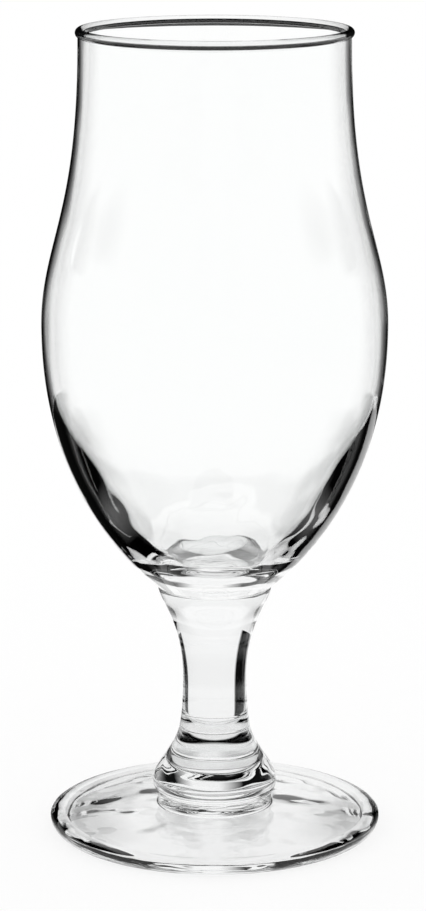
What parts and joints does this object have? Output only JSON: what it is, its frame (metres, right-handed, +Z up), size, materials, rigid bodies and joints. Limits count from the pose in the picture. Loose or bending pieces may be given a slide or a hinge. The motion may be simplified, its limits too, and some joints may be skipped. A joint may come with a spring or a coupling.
{
  "type": "stemmed beer glass",
  "caption": "Clear stemmed beer glass: tulip-shaped bowl with a beaded rim and heavy bottom on a waisted solid stem, a swelling collar and a round pressed foot.",
  "frame": {"origin": "centre of the ring that the foot stands on, on the table", "axes": "+Z up along the axis of the glass; it is turned, so +X and +Y are any two directions across it"},
  "size_m": [0.0864, 0.0864, 0.204],
  "materials": {
    "glass": "fire-polished clear soda-lime glass"
  },
  "bodies": {
    "root": {"bowl": "glass", "stem": "glass", "collar": "glass", "foot": "glass"}
  },
  "joints": []
}
